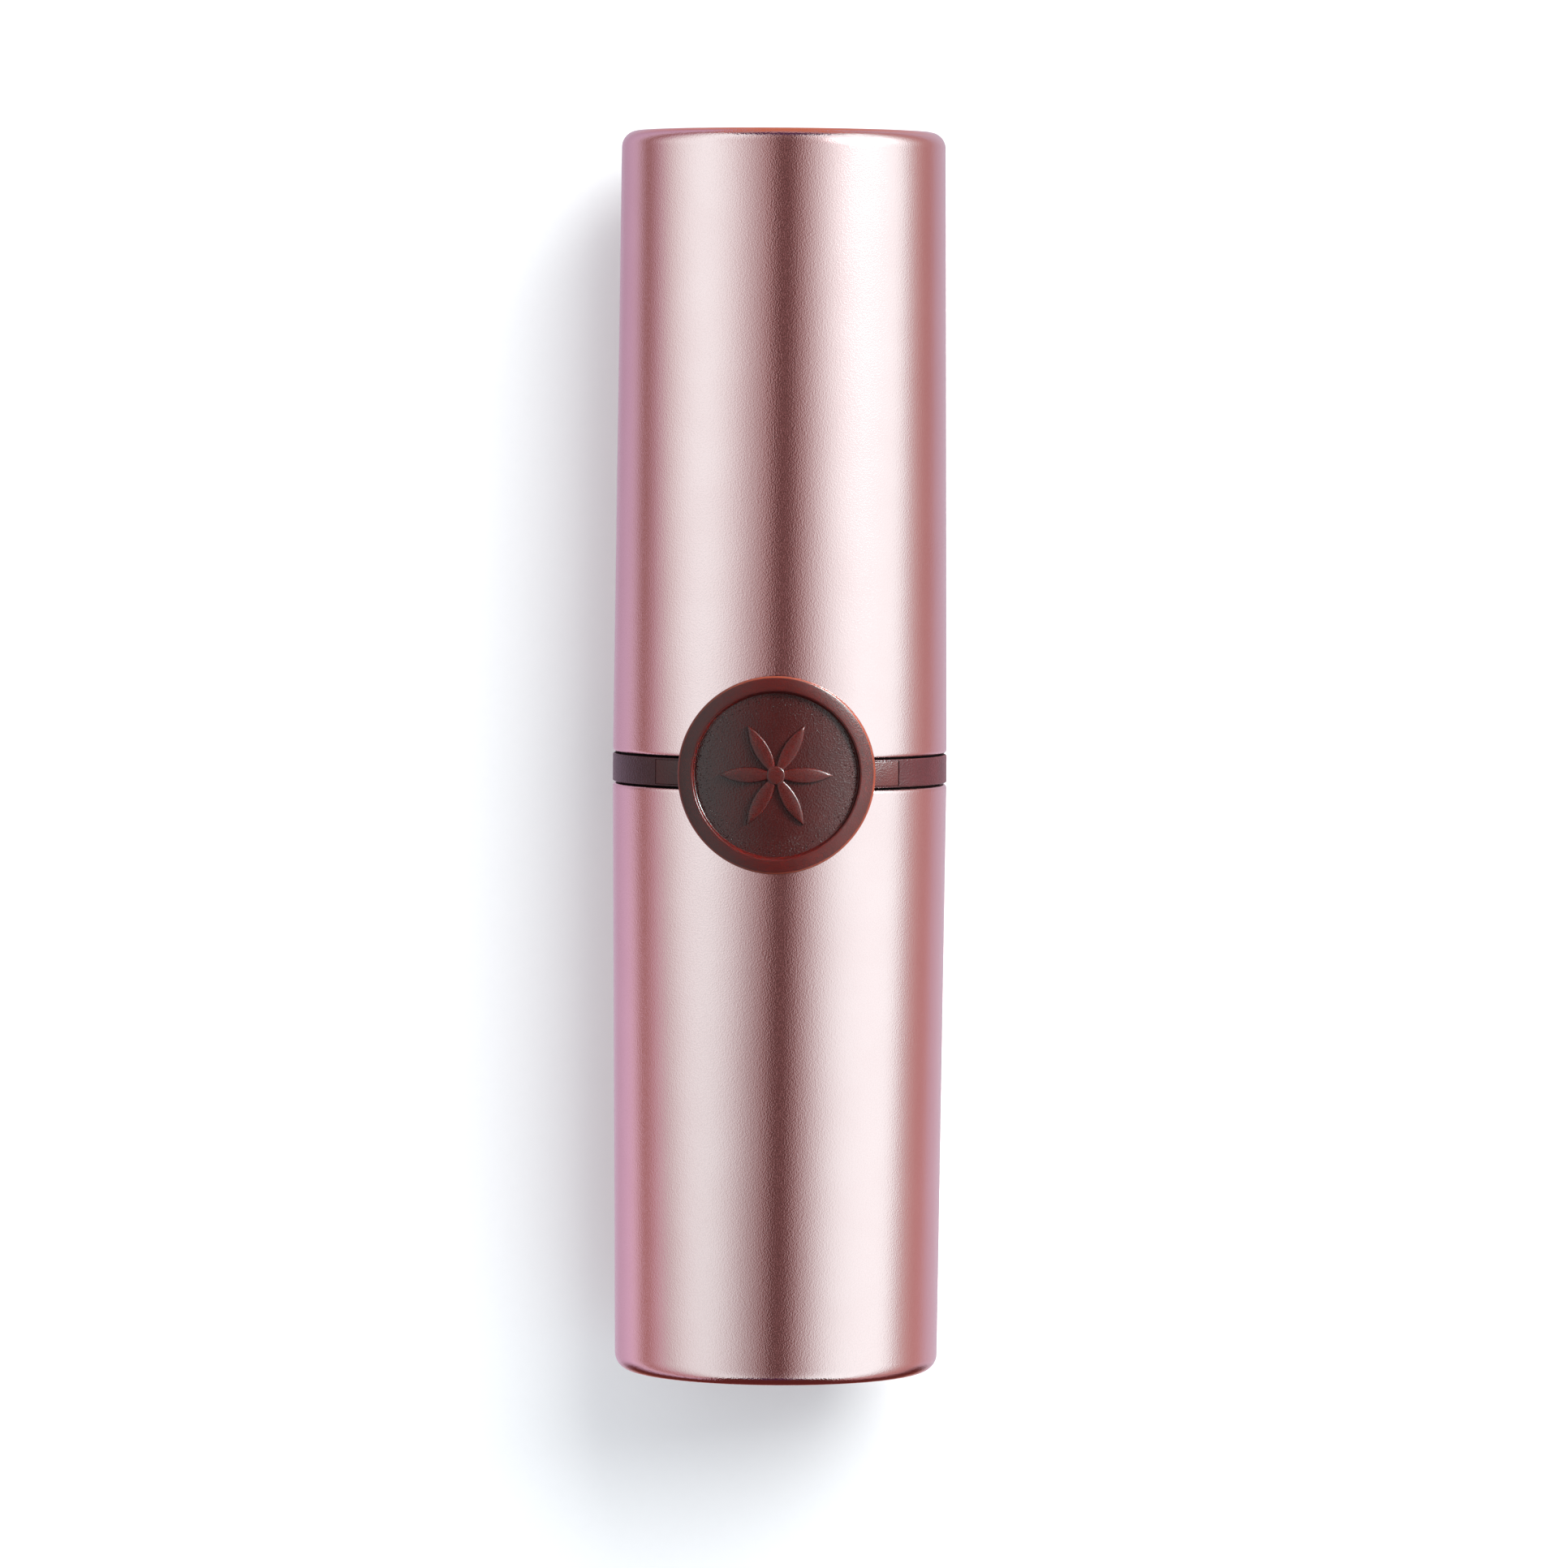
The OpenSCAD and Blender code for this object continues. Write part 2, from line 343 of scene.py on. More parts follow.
def brown_plastic(name, colour, roughness, size, depth, specular, pits=0.0, glow=0.0):
    """Moulded dark brown plastic whose leathery grain has a given size and depth. It can have small pits of a
    given depth near the badge's rim, darkened by painted shade, and red light that spreads a little way
    inside it."""
    mat, tree, shader = node_material(name, colour, roughness, Specular_IOR_Level=specular,
                                      Subsurface_Weight=glow, Subsurface_Scale=0.5 * MM,
                                      Subsurface_Radius=(1.0, 0.12, 0.06))
    links = tree.links
    grains = pebbles(tree, size)
    patches = noise(tree, 1.3 * MM, 3.0)
    light = tuple(c * 1.15 for c in colour)
    dark = tuple(c * 0.85 for c in colour)
    mottled = tint(tree, ramp(tree, patches, 0, 1), dark, light)
    mottled = tint(tree, ramp(tree, grains, 0, 0.35), mottled, tuple(c * 0.5 for c in colour))
    bumps = relief(tree, grains, depth)
    if pits:
        spots = rising(tree, noise(tree, 0.085 * MM, 1.0), 0.645, 0.675)
        pits_and_shade = times(tree, spots, near_rim(tree))
        # Painted shade: the pits are darkened to a tenth of the colour and lose their specular, for the shade
        # inside them. Their dent is a real bump.
        mottled = tint(tree, pits_and_shade, mottled, tuple(c * 0.1 for c in colour))
        bumps = relief(tree, ramp(tree, pits_and_shade, 1, 0, 0, 1), pits, bumps)
        links.new(ramp(tree, pits_and_shade, specular, 0, 0, 1), shader.inputs["Specular IOR Level"])
    links.new(mottled, shader.inputs["Base Color"])
    links.new(ramp(tree, grains, roughness - 0.03, roughness + 0.05), shader.inputs["Roughness"])
    links.new(bumps, shader.inputs["Normal"])
    return mat


def anodised():
    """Smooth anodised aluminium with faint turning lines."""
    mat, tree, shader = node_material("anodised_rose_gold", (0.80, 0.50, 0.48), 0.2, 1.0)
    lines = noise(tree, 0.06 * MM, 3.0, 0.6, (0.004, 0.004, 1))
    patches = noise(tree, 4 * MM, 2.0)
    tree.links.new(tint(tree, ramp(tree, patches, 0, 1), (0.78, 0.48, 0.46), (0.82, 0.52, 0.50)),
                   shader.inputs["Base Color"])
    tree.links.new(ramp(tree, lines, 0.16, 0.26), shader.inputs["Roughness"])
    tree.links.new(relief(tree, lines, 0.0012 * MM), shader.inputs["Normal"])
    return mat


def lipstick():
    """Waxy lipstick: nearly even, with a soft bloom and faint marks from its mould."""
    mat, tree, shader = node_material("lipstick_wax", (0.12, 0.022, 0.018), 0.34, Subsurface_Weight=0.12,
                                      Subsurface_Scale=0.6 * MM, Coat_Weight=0.08, Coat_Roughness=0.25)
    bloom = noise(tree, 1.8 * MM, 3.0)
    fine = noise(tree, 0.12 * MM, 2.0)
    marks = noise(tree, 0.25 * MM, 2.0, 0.5, (1, 1, 0.05))
    tree.links.new(tint(tree, ramp(tree, bloom, 0, 1), (0.112, 0.020, 0.0165), (0.135, 0.026, 0.021)),
                   shader.inputs["Base Color"])
    tree.links.new(ramp(tree, bloom, 0.28, 0.42), shader.inputs["Roughness"])
    tree.links.new(relief(tree, marks, 0.004 * MM, relief(tree, fine, 0.003 * MM)), shader.inputs["Normal"])
    return mat


def moulded(name, colour, roughness, size=0.1 * MM, depth=0.003 * MM):
    """Plain moulded plastic, rubber or card: a faint mottle and a fine grain."""
    mat, tree, shader = node_material(name, colour, roughness)
    mottle = noise(tree, 2 * MM, 3.0)
    fine = noise(tree, size, 2.0)
    dark = tuple(c * 0.93 for c in colour)
    tree.links.new(tint(tree, ramp(tree, mottle, 0, 1), dark, colour), shader.inputs["Base Color"])
    tree.links.new(ramp(tree, fine, roughness - 0.05, roughness + 0.05), shader.inputs["Roughness"])
    tree.links.new(relief(tree, fine, depth), shader.inputs["Normal"])
    return mat


def turned_steel():
    """Turned steel of the weight in the base."""
    mat, tree, shader = node_material("turned_steel", (0.5, 0.5, 0.51), 0.3, 1.0)
    lines = noise(tree, 0.15 * MM, 3.0, 0.6, (0.02, 0.02, 1))
    tree.links.new(tint(tree, ramp(tree, lines, 0, 1), (0.45, 0.45, 0.46), (0.56, 0.56, 0.57)),
                   shader.inputs["Base Color"])
    tree.links.new(ramp(tree, lines, 0.22, 0.38), shader.inputs["Roughness"])
    tree.links.new(relief(tree, lines, 0.006 * MM), shader.inputs["Normal"])
    return mat


ROSE_GOLD = satin_rose_gold()
BAND_BROWN = brown_plastic("band_brown", (0.031, 0.0042, 0.0052), 0.32, 0.11 * MM, 0.020 * MM, 0.36)
# Painted shade: a near-black brown for the walls of the grooves beside the band, standing in for the shade in
# them.
GROOVE_PAINTED_SHADE = brown_plastic("groove_painted_shade", (0.005, 0.0015, 0.0015), 0.6, 0.14 * MM, 0.008 * MM, 0.1)
RIM_BROWN = brown_plastic("badge_rim_brown", (0.036, 0.0020, 0.0013), 0.31, 0.10 * MM, 0.005 * MM, 0.34,
                          glow=0.6)
# Painted reflection: a lighter orange brown on the badge's outer rounded edge, in place of warm light
# reflected from the shell beside it.
EDGE_PAINTED_REFLECTION = brown_plastic("badge_edge_painted_reflection", (0.12, 0.020, 0.009), 0.31, 0.10 * MM, 0.005 * MM, 0.3)
GROUND_BROWN = brown_plastic("badge_ground_brown", (0.021, 0.0012, 0.0009), 0.23, 0.10 * MM, 0.015 * MM, 0.46,
                             pits=0.01 * MM)
FLOWER_BROWN = brown_plastic("badge_flower_brown", (0.035, 0.0030, 0.0022), 0.28, 0.09 * MM, 0.003 * MM, 0.4,
                             glow=0.4)
ARM_BROWN = brown_plastic("badge_arm_brown", (0.040, 0.0034, 0.0028), 0.34, 0.10 * MM, 0.014 * MM, 0.40)
ANODISED = anodised()
LIPSTICK = lipstick()
WHITE_PLASTIC = moulded("white_plastic", (0.80, 0.77, 0.72), 0.4)
LINER_BROWN = moulded("liner_brown", (0.035, 0.018, 0.016), 0.45)
STEEL = turned_steel()
RUBBER = moulded("ring_rubber", (0.02, 0.02, 0.02), 0.6)
LABEL = moulded("label_paper", (0.20, 0.05, 0.042), 0.42, 0.05 * MM, 0.002 * MM)


def dress(obj, *materials):
    """Gives an object its materials, in place of any that it had."""
    while len(obj.data.materials) > len(materials):
        obj.data.materials.pop()
    for i, mat in enumerate(materials):
        if i < len(obj.data.materials):
            obj.data.materials[i] = mat
        else:
            obj.data.materials.append(mat)
    return obj


# ---------------------------------------------------------------- pieces

def cap_shell():
    """Outer shell of the cap, closed above."""
    crown = 1.2 * MM
    rim, top = cap_low.z, CASE_TOP
    profile = [(0, top - crown), (SHELL_BORE, top - crown)]
    profile += [(SHELL_BORE, rim + CHAMFER), (SHELL_BORE + CHAMFER, rim)]
    profile += arc(CASE_R - RIM_ROUND, rim + RIM_ROUND, RIM_ROUND, -90, 0, 8)
    profile += arc(END_R - END_ROUND, top - END_ROUND, END_ROUND, 0, 90, 16)
    profile += [(0, top)]
    return lathe("cap_shell_skin", profile, "cap")


def base_shell():
    """Outer shell of the base, closed below, with a recess for the label."""
    floor, flange, recess = 1.6 * MM, 18 * MM, 0.25 * MM
    recess_r = END_R - END_ROUND - 0.6 * MM
    bore = SHELL_BORE + 0.1 * MM
    lower_bore = bore - 0.3 * MM
    rim = base_high.z
    profile = [(0, recess), (recess_r, recess), (recess_r, 0)]
    profile += arc(END_R - END_ROUND, END_ROUND, END_ROUND, -90, 0, 16)
    profile += arc(CASE_R - RIM_ROUND, rim - RIM_ROUND, RIM_ROUND, 0, 90, 8)
    profile += [(bore + CHAMFER, rim), (bore, rim - CHAMFER), (bore, flange)]
    profile += [(lower_bore, flange), (lower_bore, floor), (0, floor)]
    return lathe("base_shell_skin", profile, "base")


def band():
    """Ring between the shells, on a sleeve that plugs into the base. A pocket round its front takes the arms,
    and the walls of the grooves above and below it get the second material, a near-black painted shade."""
    edge, steps, pocket_steps = 0.09 * MM, 192, 48
    rise = arc(CASE_R - edge, BAND_LOW + edge, edge, -90, 0, 5) + [(CASE_R, BAND_LOW + LIP)]
    below = [(SLEEVE_BORE, band_low.z), (SLEEVE_R, band_low.z), (SLEEVE_R, base_high.z)]
    below += [(SHOULDER_R, base_high.z), (SHOULDER_R, BAND_LOW)] + rise
    above = [(r, 2 * BAND_MIDDLE - z) for r, z in reversed(rise)]
    above += [(SHOULDER_R, BAND_HIGH), (SHOULDER_R, band_high.z), (SLEEVE_BORE, band_high.z)]
    floor = [(POCKET_R, BAND_LOW + LIP), (POCKET_R, BAND_HIGH - LIP)]
    angles = [-POCKET_ANGLE + 2 * POCKET_ANGLE * i / pocket_steps for i in range(pocket_steps)]
    angles += [POCKET_ANGLE + (360 - 2 * POCKET_ANGLE) * i / steps for i in range(steps)]
    # Points of a section where the walls of the two grooves start, whose faces get the painted shade.
    lower_groove_shade, upper_groove_shade = (2, 3, 4), (-4, -3, -2)
    bm = bmesh.new()
    rings = []
    for i, angle in enumerate(angles):
        section = below + (floor if i <= pocket_steps else []) + above
        rings.append(front_ring(bm, section, angle))
    for i, ring in enumerate(rings):
        following = rings[(i + 1) % len(rings)]
        inside = list(range(len(below) + (len(floor) if i < pocket_steps else 0)))
        path = inside + list(range(-len(above), 0))
        for j, k in zip(path, path[1:] + path[:1]):
            face = bm.faces.new((ring[j], ring[k], following[k], following[j]))
            # Painted shade: faces of the groove walls get material 1, the near-black groove shade.
            face.material_index = 1 if j in lower_groove_shade + upper_groove_shade else 0
    lip = len(below) - 1
    for ring in (rings[0], rings[pocket_steps]):
        bm.faces.new(ring[lip:lip + len(floor) + 2])
    return finished("band_skin", bm, body="base")


def wrapped(u, v, r):
    """A point of the badge: u to the right of its centre, v above it, and r away from the case's axis."""
    return (u, -math.sqrt(r * r - u * u), BADGE_Z + v)


def badge_ring(bm, reach, r, steps):
    """A ring of vertices round the badge's centre. The centre itself is one vertex, repeated."""
    if reach < TOO_SMALL:
        return [bm.verts.new(wrapped(0, 0, r))] * steps
    turns = [2 * math.pi * i / steps for i in range(steps)]
    return [bm.verts.new(wrapped(reach * math.cos(t), reach * math.sin(t), r)) for t in turns]


def badge_plate(bm):
    """Round plate wrapped round the case, with a raised rim."""
    steps, back_steps, ground_steps = 360, 8, 12
    edge, outer, inner, crown = 0.05 * MM, 0.15 * MM, 0.16 * MM, 0.05 * MM
    hole = BADGE_R - BADGE_RIM
    land = BADGE_RIM - outer - inner
    shoulder = BADGE_FACE - crown
    side = [(BADGE_R * i / back_steps, BADGE_BACK) for i in range(back_steps)]
    side += [(BADGE_R - edge, BADGE_BACK), (BADGE_R, BADGE_BACK + edge)]
    edge_start = len(side)
    side += [(BADGE_R, shoulder - outer - 0.1 * MM)]
    side += arc(BADGE_R - outer, shoulder - outer, outer, 0, 72, 6)
    edge_end = len(side) - 1
    side += [(hole + inner + land * t, BADGE_FACE - crown * t * t) for t in (0.92, 0.8, 0.6, 0.4, 0.2)]
    side += arc(hole + inner, BADGE_FACE - inner, inner, 90, 165, 6)
    side += [(hole - 0.06 * MM, BADGE_GROUND + 0.04 * MM), (hole - 0.10 * MM, BADGE_GROUND)]
    ground_r = hole - 0.14 * MM
    ground = [(ground_r * (1 - i / ground_steps), BADGE_GROUND) for i in range(ground_steps + 1)]
    rings = [badge_ring(bm, reach, r, steps) for reach, r in side + ground]
    for i, (first, second) in enumerate(zip(rings, rings[1:])):
        for j in range(steps):
            k = (j + 1) % steps
            corners = list(dict.fromkeys([first[j], first[k], second[k], second[j]]))
            face = bm.faces.new(corners)
            if i >= len(side) - 1:
                face.material_index = ON_GROUND
            # The outer rounded edge gets the painted reflection.
            elif edge_start <= i < edge_end:
                face.material_index = ON_EDGE_REFLECTION


def petal(bm, turn):
    """One pointed petal, from the badge's centre outwards, with bevelled edges and a low crown along it. Its
    outline is where two circles overlap."""
    stations, edge = 40, 0.1 * MM
    crown, tip = 0.02 / 0.45, 0.004 * MM
    rows = []
    for i in range(stations + 1):
        s = FLOWER_R * (1 - math.cos(math.pi * i / stations)) / 2
        half = math.sqrt(FLOWER_R ** 2 - (s - FLOWER_R / 2) ** 2) - FLOWER_R * math.sqrt(0.75)
        half = max(half, tip)
        bevel = min(edge, half * 0.7)
        face = FLOWER_FACE - (edge - bevel)
        right = [(half, BADGE_GROUND - FLOWER_SUNK), (half, face - bevel)]
        right += [(half - bevel * (1 - math.cos(t)), face - bevel * (1 - math.sin(t)))
                  for t in (math.radians(30), math.radians(60), math.radians(90))]
        section = right + [(0, face + crown * half)] + [(-w, r) for w, r in reversed(right)]
        row = []
        for w, r in section:
            u = s * math.cos(turn) - w * math.sin(turn)
            v = s * math.sin(turn) + w * math.cos(turn)
            row.append(bm.verts.new(wrapped(u, v, r)))
        rows.append(row)
    skin(bm, rows, ON_FLOWER)


def boss(bm):
    """Small round boss where the petals meet."""
    steps, radius, edge = 48, FLOWER_R / 6, 0.1 * MM
    top = FLOWER_FACE + 0.04 * MM
    profile = [(radius, BADGE_GROUND - FLOWER_SUNK)] + arc(radius - edge, top - edge, edge, 0, 90, 4)
    profile += [(radius / 2, top + 0.015 * MM)]
    skin(bm, [badge_ring(bm, reach, r, steps) for reach, r in profile], ON_FLOWER)


def badge():
    """Badge with its flower, and the arms, neck and pegs that hold it on the band."""
    petals = 6
    bm = bmesh.new()
    badge_plate(bm)
    for i in range(petals):
        petal(bm, 2 * math.pi * i / petals)
    boss(bm)
    low, high = BAND_LOW + LIP, BAND_HIGH - LIP
    edge = 0.06 * MM
    sections = []
    for outer in (CASE_R, CASE_R - edge):
        lower = [(ARM_BACK, low)] + arc(outer - edge, low + edge, edge, -90, 0, 4)
        sections.append(lower + [(r, low + high - z) for r, z in reversed(lower)])
    arms, arm_ends = sections
    sweep(bm, arms, arm_ends, ARM_ANGLE, 64, ON_ARM, LEFT_ARM_FURTHER)
    neck = [(NECK_BACK, low), (NECK_FRONT, low), (NECK_FRONT, high), (NECK_BACK, high)]
    sweep(bm, neck, neck, NECK_ANGLE, 24)
    for side in (-PEG_ANGLE, PEG_ANGLE):
        a = math.radians(side)
        out = Vector((math.sin(a), -math.cos(a), 0))
        place = Matrix.Translation(out * (PEG_LOW + PEG_HIGH) / 2 + Vector((0, 0, BADGE_Z)))
        turn = out.to_track_quat("Z", "Y").to_matrix().to_4x4()
        bmesh.ops.create_cone(bm, cap_ends=True, segments=32, radius1=PEG_R, radius2=PEG_R,
                              depth=PEG_HIGH - PEG_LOW, matrix=place @ turn)
    return finished("badge_skin", bm, 30, "base")


def collar():
    """Smooth sleeve that turns the mechanism, with a bead that the cap grips and a rolled top."""
    bead_z, bead_h, bead_steps = BAND_HIGH + 2.6 * MM, 0.8 * MM, 12
    roll, edge = 0.25 * MM, 0.05 * MM
    low, top, half = collar_low.z, collar_high.z, COLLAR_WALL / 2
    profile = [(COLLAR_BORE, low), (COLLAR_R - edge, low), (COLLAR_R, low + edge)]
    for i in range(bead_steps + 1):
        swell = math.sin(math.pi * i / bead_steps) ** 1.5
        profile.append((COLLAR_R + BEAD * swell, bead_z + bead_h * i / bead_steps))
    profile += arc(COLLAR_R - roll, top - roll, roll, 0, 90, 8)
    profile += arc(COLLAR_LIP_R + half, top - half, half, 90, 270, 8)
    profile += [(COLLAR_BORE, top - COLLAR_WALL)]
    return lathe("collar_skin", profile, "collar")


def bullet():
    """Lipstick bullet: a rod with a domed end, cut on a slant that faces the front, with soft edges."""
    steps, tip_rings = 192, 24
    edge, soft, foot = 0.3 * MM, 0.25 * MM, 0.1 * MM
    bottom, peak = bullet_low.z, bullet_high.z
    dome_z = peak - math.sqrt(DOME_R ** 2 - TIP_BACK ** 2)

    def top(x, y):
        dome = dome_z + math.sqrt(DOME_R ** 2 - x * x - y * y)
        slant = peak + TIP_SLOPE * (y - TIP_BACK)
        gap = max(0.0, 1 - abs(dome - slant) / (4 * soft))
        return min(dome, slant) - soft * gap * gap

    bm = bmesh.new()
    rounding = range(0, 91, 15)
    reaches = [BULLET_R - edge * (1 - math.cos(math.radians(t))) for t in rounding]
    reaches += [(BULLET_R - edge) * (1 - i / tip_rings) for i in range(1, tip_rings)]
    turns = [2 * math.pi * i / steps for i in range(steps)]
    foot_r = BULLET_R - foot
    rings = [[bm.verts.new((foot_r * math.cos(t), foot_r * math.sin(t), bottom)) for t in turns]]
    for part in (0, 0.02, 0.25, 0.5, 0.75, 0.98):
        ring = []
        for t in turns:
            x, y = BULLET_R * math.cos(t), BULLET_R * math.sin(t)
            start, end = bottom + foot, top(x, y) - edge
            ring.append(bm.verts.new((x, y, start + (end - start) * part)))
        rings.append(ring)
    for i, reach in enumerate(reaches):
        drop = edge * (1 - math.sin(math.radians(rounding[i]))) if i < len(rounding) else 0
        ring = []
        for t in turns:
            x, y = reach * math.cos(t), reach * math.sin(t)
            ring.append(bm.verts.new((x, y, top(x, y) - drop)))
        rings.append(ring)
    rings.append([bm.verts.new((0, 0, top(0, 0)))] * steps)
    bm.faces.new(rings[0])
    for first, second in zip(rings, rings[1:]):
        for j in range(steps):
            k = (j + 1) % steps
            bm.faces.new(list(dict.fromkeys([first[j], first[k], second[k], second[j]])))
    return finished("bullet_skin", bm, 50, "carrier")


# What is built, the CAD node that it replaces, its slot and its materials.
PIECES = (
    (cap_shell, "cap_shell", "rose_gold_shell", [ROSE_GOLD]),
    (base_shell, "base_shell", "rose_gold_shell", [ROSE_GOLD]),
    (band, "band_ring", "dark_band", [BAND_BROWN, GROOVE_PAINTED_SHADE]),
    (badge, "badge", "dark_band", [RIM_BROWN, GROUND_BROWN, FLOWER_BROWN, ARM_BROWN, EDGE_PAINTED_REFLECTION]),
    (collar, "collar_tube", "rose_gold_sleeve", [ANODISED]),
    (bullet, "bullet", "lipstick", [LIPSTICK]),
)
for build, node, slot, finishes in PIECES:
    piece = dress(build(), *finishes)
    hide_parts(node)

# The CAD nodes that stay, and their material.
KEPT = {
    "cup": WHITE_PLASTIC,
    "fork_tube": WHITE_PLASTIC,
    "spiral_sleeve": WHITE_PLASTIC,
    "cap_liner": LINER_BROWN,
    "base_weight": STEEL,
    "friction_ring": RUBBER,
    "base_label": LABEL,
}
for node, finish in KEPT.items():
    dress(frame["nodes"][node], finish)


# ---------------------------------------------------------------- stage

# The camera: its place, and its swing and roll in degrees. FIELD is the width that it sees where it aims.
VIEW_DISTANCE = 525 * MM
VIEW_HEIGHT = 60.6 * MM
VIEW_SWING = 1.2
VIEW_ROLL = 0.39
AIM = Vector((0.27 * MM, 0, 35.9 * MM))
FIELD = 95.9 * MM

# The stage, from the inside out.
PAPER_HALF = 620 * MM
PAPER_WHITE = (0.92, 0.955, 0.95)
TENT_R, TENT_LOW, TENT_HIGH = 450 * MM, -950 * MM, 1050 * MM
LIGHT_DOME_R = 900 * MM
SURROUND_R = 2200 * MM

# Tints, which multiply a light's brightness.
PLAIN = (1.0, 1.0, 1.01)
WARM = (1.2, 1.0, 0.97)
RED = (1.32, 1.0, 0.98)
COOL = (1.12, 1.0, 1.18)
VIOLET = (1.15, 1.0, 1.35)

# Colours of light.
DOME_COLOUR = (0.965, 0.975, 1.03)
DARK_VIOLET = (0.06, 0.02, 0.09)
DARK_RED = (0.11, 0.025, 0.022)
ORANGE = (0.68, 0.27, 0.15)
DULL_ROSE = (0.52, 0.38, 0.38)

# The tent's colours are divided by this, because a ramp holds none brighter than 1.
TENT_PEAK = 2.0


def camera():
    """Camera at the photograph's viewing angle."""
    data = bpy.data.cameras.new("camera")
    cam = in_scene("camera", data)
    swing = math.radians(VIEW_SWING)
    cam.location = (VIEW_DISTANCE * math.sin(swing), -VIEW_DISTANCE * math.cos(swing), VIEW_HEIGHT)
    look = AIM - cam.location
    turn = look.to_track_quat("-Z", "Y").to_matrix() @ Matrix.Rotation(math.radians(VIEW_ROLL), 3, "Z")
    cam.rotation_euler = turn.to_euler()
    data.lens = data.sensor_width * look.length / FIELD
    data.clip_start, data.clip_end = 10 * MM, 20
    bpy.context.scene.camera = cam


def softbox(name, azimuth, elevation, distance, side, radiance, colour=(1, 1, 1)):
    """A square light that faces the object. Azimuth 0 is on the camera's side, and it grows to the right."""
    data = bpy.data.lights.new(name, "AREA")
    data.shape = "SQUARE"
    data.size = side
    data.energy = radiance * math.pi * side * side
    data.color = colour
    lamp = in_scene(name, data)
    a, e = math.radians(azimuth), math.radians(elevation)
    out = Vector((math.sin(a) * math.cos(e), -math.cos(a) * math.cos(e), math.sin(e)))
    centre = Vector((0, 0, CASE_TOP / 2))
    lamp.location = centre + out * distance
    lamp.rotation_euler = out.to_track_quat("Z", "Y").to_euler()
    lamp.visible_camera = False
    return lamp


def only_for_camera(obj):
    """Keeps a stage object out of reflections, bounced light and shadows."""
    obj.visible_diffuse = False
    obj.visible_glossy = False
    obj.visible_transmission = False
    obj.visible_volume_scatter = False
    obj.visible_shadow = False
    return obj


def paper():
    """The white surface that the case lies on: upright, just behind it, and seen from its front only."""
    half, y = PAPER_HALF, CASE_R + 0.05 * MM
    corners = [(-half, y, -half), (half, y, -half), (half, y, half), (-half, y, half)]
    mesh = bpy.data.meshes.new("paper")
    mesh.from_pydata(corners, [], [(0, 1, 2, 3)])
    obj = in_scene("paper", mesh)
    mat, tree, shader = node_material("white_paper", PAPER_WHITE, 0.9, Specular_IOR_Level=0.0)
    fibres = noise(tree, 0.5 * MM, 2.0)
    dark = tuple(c - 0.01 for c in PAPER_WHITE)
    light = tuple(c + 0.01 for c in PAPER_WHITE)
    tree.links.new(tint(tree, fibres, dark, light), shader.inputs["Base Color"])
    front = tree.nodes.new("ShaderNodeNewGeometry")
    clear = tree.nodes.new("ShaderNodeBsdfTransparent")
    mix = tree.nodes.new("ShaderNodeMixShader")
    tree.links.new(front.outputs["Backfacing"], mix.inputs["Fac"])
    tree.links.new(shader.outputs["BSDF"], mix.inputs[1])
    tree.links.new(clear.outputs["BSDF"], mix.inputs[2])
    tree.links.new(mix.outputs["Shader"], tree.nodes["Material Output"].inputs["Surface"])
    dress(obj, mat)
    only_for_camera(obj)
    return obj


def surround():
    """The pale studio all round, which only shows where the paper doesn't."""
    bm = bmesh.new()
    bmesh.ops.create_icosphere(bm, subdivisions=3, radius=SURROUND_R)
    obj = finished("surround", bm)
    pale = (0.93, 0.93, 0.94, 1)
    mat, _, _ = node_material("pale_surround", (0, 0, 0), 1.0, Emission_Color=pale, Emission_Strength=1.0)
    dress(obj, mat)
    only_for_camera(obj)


# Brightness and tint of the tent by azimuth. 0 is on the camera's side, and it grows to the right.
TENT = {
    2: (0.005, WARM), 10: (0.15, WARM), 16: (0.41, PLAIN),
    22: (0.68, PLAIN), 32: (1.21, PLAIN), 42: (1.53, PLAIN), 55: (1.69, PLAIN),
    75: (1.70, PLAIN), 88: (1.72, PLAIN), 95: (1.32, PLAIN), 101: (0.78, PLAIN),
    109: (0.50, WARM), 120: (0.30, RED), 128: (0.34, RED), 138: (0.48, COOL),
    155: (0.55, COOL), 180: (0.55, COOL), 210: (0.42, VIOLET), 230: (0.56, VIOLET),
    240: (0.55, COOL), 249: (0.17, WARM), 255: (0.20, WARM), 263: (0.47, COOL),
    275: (0.85, PLAIN), 288: (1.34, PLAIN), 300: (1.58, PLAIN), 313: (1.58, PLAIN),
    328: (1.18, PLAIN), 340: (0.69, PLAIN), 349: (0.46, PLAIN), 354: (0.21, WARM),
}
# How bright the tent is low down, against its brightness higher up.
TENT_BELOW = {
    0: 0.84, 30: 0.84, 48: 0.95, 75: 1.03, 105: 1.0, 125: 1.15, 180: 1.1, 222: 1.15,
    240: 1.27, 256: 1.33, 268: 1.12, 281: 0.90, 319: 0.80, 345: 0.72, 355: 0.74,
}


def light_colour(level, light_tint):
    """Colour of a light of a given brightness. Its red grows more slowly, so that dim light is warmer."""
    red_share, red_growth = 0.84, 0.66
    red, green, blue = light_tint
    return (red * red_share * level ** red_growth, green * level, blue * level)


def glowing(name, mesh):
    """A stage object that gives light, hidden from the camera. Returns it, its tree and its emission."""
    obj = in_scene(name, mesh)
    mat = bpy.data.materials.new(name)
    mat.use_nodes = True
    tree = mat.node_tree
    tree.nodes.clear()
    glow = tree.nodes.new("ShaderNodeEmission")
    end = tree.nodes.new("ShaderNodeOutputMaterial")
    tree.links.new(glow.outputs["Emission"], end.inputs["Surface"])
    dress(obj, mat)
    obj.visible_camera = False
    obj.visible_shadow = False
    return obj, tree, glow


